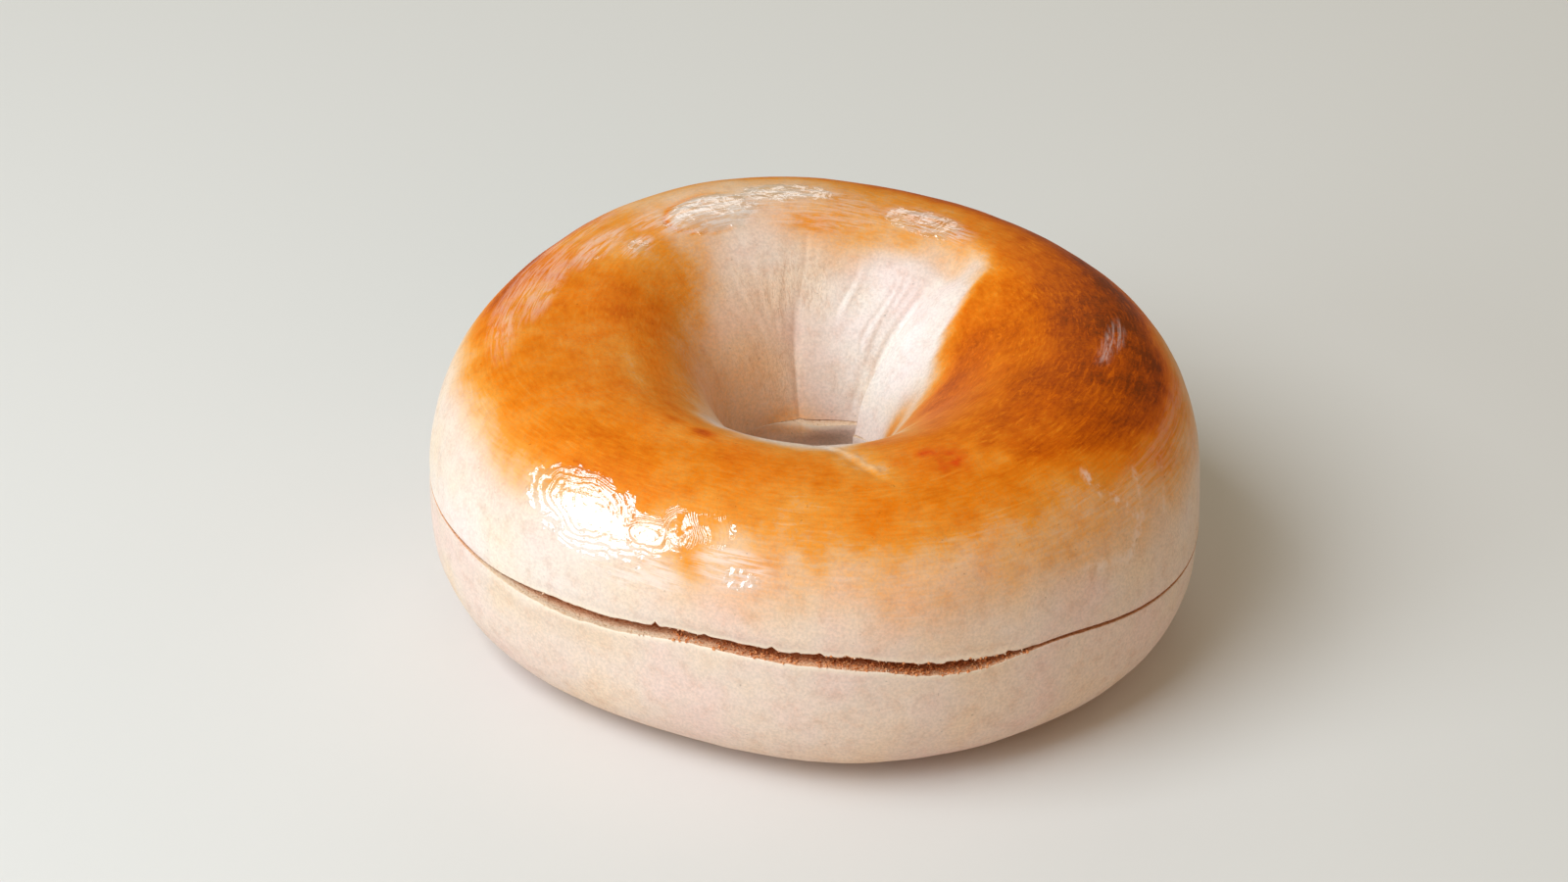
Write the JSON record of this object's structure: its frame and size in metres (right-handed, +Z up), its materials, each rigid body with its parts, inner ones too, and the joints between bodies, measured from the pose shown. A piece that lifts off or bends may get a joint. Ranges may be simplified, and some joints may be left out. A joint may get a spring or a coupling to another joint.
{
  "type": "bagel",
  "caption": "Plain glossy bagel sliced level right through, with a leaning funnel-shaped hole, a dough fold down its wall and a flat base.",
  "frame": {"origin": "middle of the bounding box on the plane that the flat bottom rests on", "axes": "+Z up, -Y towards the side where the slice has opened, +X to the right of someone who looks at that side"},
  "size_m": [0.1114, 0.1086, 0.0462],
  "materials": {
    "glazed_crust": "glossy baked crust, pale at the sides and orange brown on top",
    "pale_crust": "satin pale crust"
  },
  "bodies": {
    "root": {"top_half": "glazed_crust", "bottom_half": "pale_crust"}
  },
  "joints": []
}
